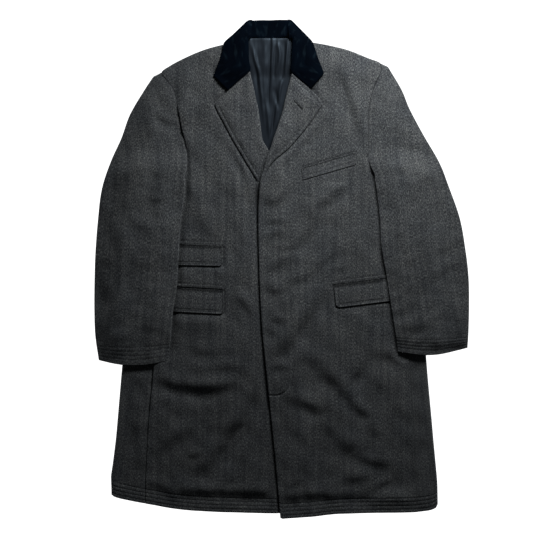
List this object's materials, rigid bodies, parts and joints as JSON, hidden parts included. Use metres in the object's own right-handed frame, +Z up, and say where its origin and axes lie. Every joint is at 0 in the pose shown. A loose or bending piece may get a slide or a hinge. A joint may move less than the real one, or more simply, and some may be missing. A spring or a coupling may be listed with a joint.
{
  "type": "overcoat",
  "caption": "Single-breasted wool overcoat with a velvet collar, notch lapels, a fly front and flap pockets, laid flat on its back.",
  "frame": {"origin": "on the surface it lies on, under the middle of the laid-out coat", "axes": "+X to the wearer's left, +Y towards the collar, +Z up off the surface, out of the front of the coat"},
  "size_m": [0.7662, 1.02, 0.0277],
  "materials": {
    "wool": "charcoal melange wool, matt with a soft nap",
    "velvet": "black cotton velvet",
    "satin": "dark satin lining"
  },
  "bodies": {
    "root": {"right_back": "wool", "left_back": "wool", "right_side_body": "wool", "left_side_body": "wool", "right_front": "wool", "left_front": "wool", "right_top_sleeve": "wool", "right_under_sleeve": "wool", "left_top_sleeve": "wool", "left_under_sleeve": "wool", "right_lapel": "wool", "left_lapel": "wool", "ticket_flap": "wool", "ticket_jet": "wool", "right_hip_flap": "wool", "right_hip_jet": "wool", "left_hip_flap": "wool", "left_hip_jet": "wool", "breast_welt": "wool", "collar_back": "velvet", "collar_right_leaf": "velvet", "collar_left_leaf": "velvet", "back_lining": "satin"}
  },
  "joints": []
}
